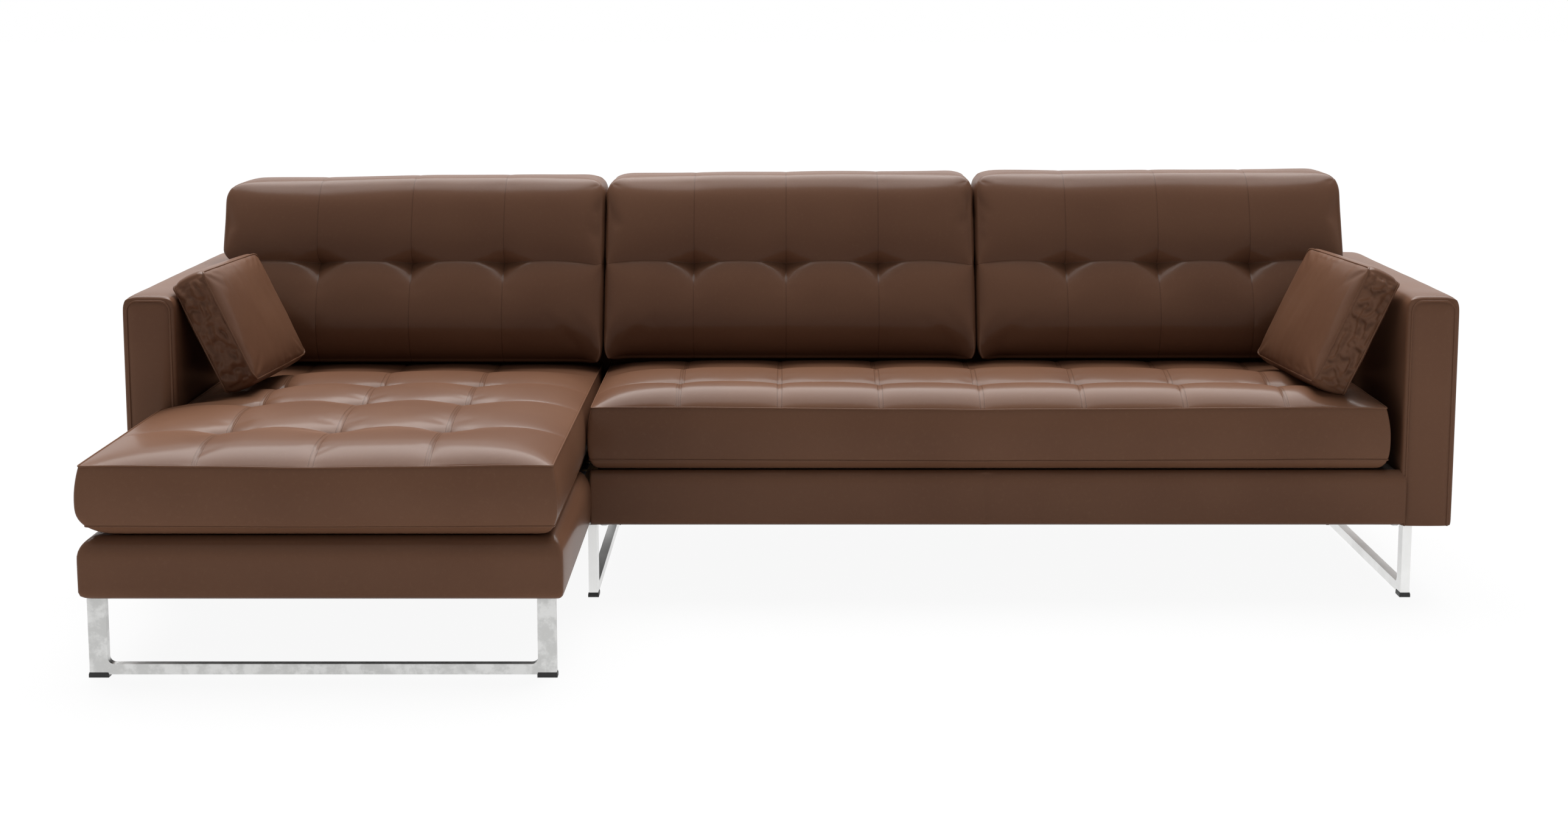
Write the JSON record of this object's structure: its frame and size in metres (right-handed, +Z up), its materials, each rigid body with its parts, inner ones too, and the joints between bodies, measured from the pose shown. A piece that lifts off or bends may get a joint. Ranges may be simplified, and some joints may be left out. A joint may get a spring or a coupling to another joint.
{
  "type": "chaise sofa",
  "caption": "Leather chaise sofa with channel-sewn tufted seat and back cushions, slim square arms, loose scatter cushions and flat-bar steel sled legs.",
  "frame": {"origin": "on the floor, at the middle of the footprint's bounding box", "axes": "+X towards the right arm seen from the front, +Y towards the back, +Z up"},
  "size_m": [2.79, 1.625, 0.852],
  "materials": {
    "leather": "mid-brown semi-gloss leather, fine grain, padded",
    "cushion_leather": "mid-brown semi-gloss leather over foam and fibre",
    "timber": "planed pine and beech, unfinished",
    "webbing": "black elastic webbing",
    "platform_cloth": "dark brown platform cloth over felt",
    "dust_cloth": "black non-woven cloth",
    "steel": "brushed satin steel tube",
    "zinc_steel": "bright zinc-plated steel",
    "black_plastic": "black plastic"
  },
  "bodies": {
    "frame": {"arm_screws": "zinc_steel", "center_sled": "steel", "chaise_back_board": "timber", "chaise_back_cover": "leather", "chaise_back_rail": "timber", "chaise_back_ribs": "timber", "chaise_cross_rails": "timber", "chaise_deck": "platform_cloth", "chaise_dust_cloth": "dust_cloth", "chaise_front_cover": "leather", "chaise_front_rail": "timber", "chaise_front_sled": "steel", "chaise_left_cover": "leather", "chaise_left_rail": "timber", "chaise_packing_rail": "timber", "chaise_rear_rail": "timber", "chaise_right_cover": "leather", "chaise_right_rail": "timber", "chaise_seat_rail": "timber", "chaise_webbing": "webbing", "connector_catches": "zinc_steel", "connector_hooks": "zinc_steel", "glide_pads": "black_plastic", "left_arm_cover": "leather", "left_arm_frame": "timber", "left_arm_panel": "leather", "left_sled": "steel", "mounting_plates": "zinc_steel", "right_arm_cover": "leather", "right_arm_frame": "timber", "right_arm_panel": "leather", "right_sled": "steel", "sled_screws": "zinc_steel", "sofa_back_board": "timber", "sofa_back_cover": "leather", "sofa_back_rail": "timber", "sofa_back_ribs": "timber", "sofa_cross_rails": "timber", "sofa_deck": "platform_cloth", "sofa_dust_cloth": "dust_cloth", "sofa_front_cover": "leather", "sofa_front_rail": "timber", "sofa_left_rail": "timber", "sofa_rear_rail": "timber", "sofa_right_rail": "timber", "sofa_seat_rail": "timber", "sofa_webbing": "webbing"},
    "chaise_seat": {"chaise_seat_cushion": "cushion_leather"},
    "chaise_back": {"chaise_back_cushion": "cushion_leather"},
    "left_scatter": {"left_scatter_cushion": "cushion_leather"},
    "bench_seat": {"bench_seat_cushion": "cushion_leather"},
    "middle_back": {"middle_back_cushion": "cushion_leather"},
    "right_back": {"right_back_cushion": "cushion_leather"},
    "right_scatter": {"right_scatter_cushion": "cushion_leather"}
  },
  "joints": [
    {"name": "chaise_seat_lift", "type": "slide", "parent": "frame", "child": "chaise_seat", "axis": [0, 0, 1], "range_m": [0, 0.3]},
    {"name": "bench_seat_lift", "type": "slide", "parent": "frame", "child": "bench_seat", "axis": [0, 0, 1], "range_m": [0, 0.3]},
    {"name": "chaise_back_lift", "type": "slide", "parent": "chaise_seat", "child": "chaise_back", "axis": [0, 0, 1], "range_m": [0, 0.45]},
    {"name": "middle_back_lift", "type": "slide", "parent": "bench_seat", "child": "middle_back", "axis": [0, 0, 1], "range_m": [0, 0.45]},
    {"name": "right_back_lift", "type": "slide", "parent": "bench_seat", "child": "right_back", "axis": [0, 0, 1], "range_m": [0, 0.45]},
    {"name": "left_scatter_lift", "type": "slide", "parent": "chaise_seat", "child": "left_scatter", "axis": [0, 0, 1], "range_m": [0, 0.3]},
    {"name": "right_scatter_lift", "type": "slide", "parent": "bench_seat", "child": "right_scatter", "axis": [0, 0, 1], "range_m": [0, 0.3]}
  ]
}
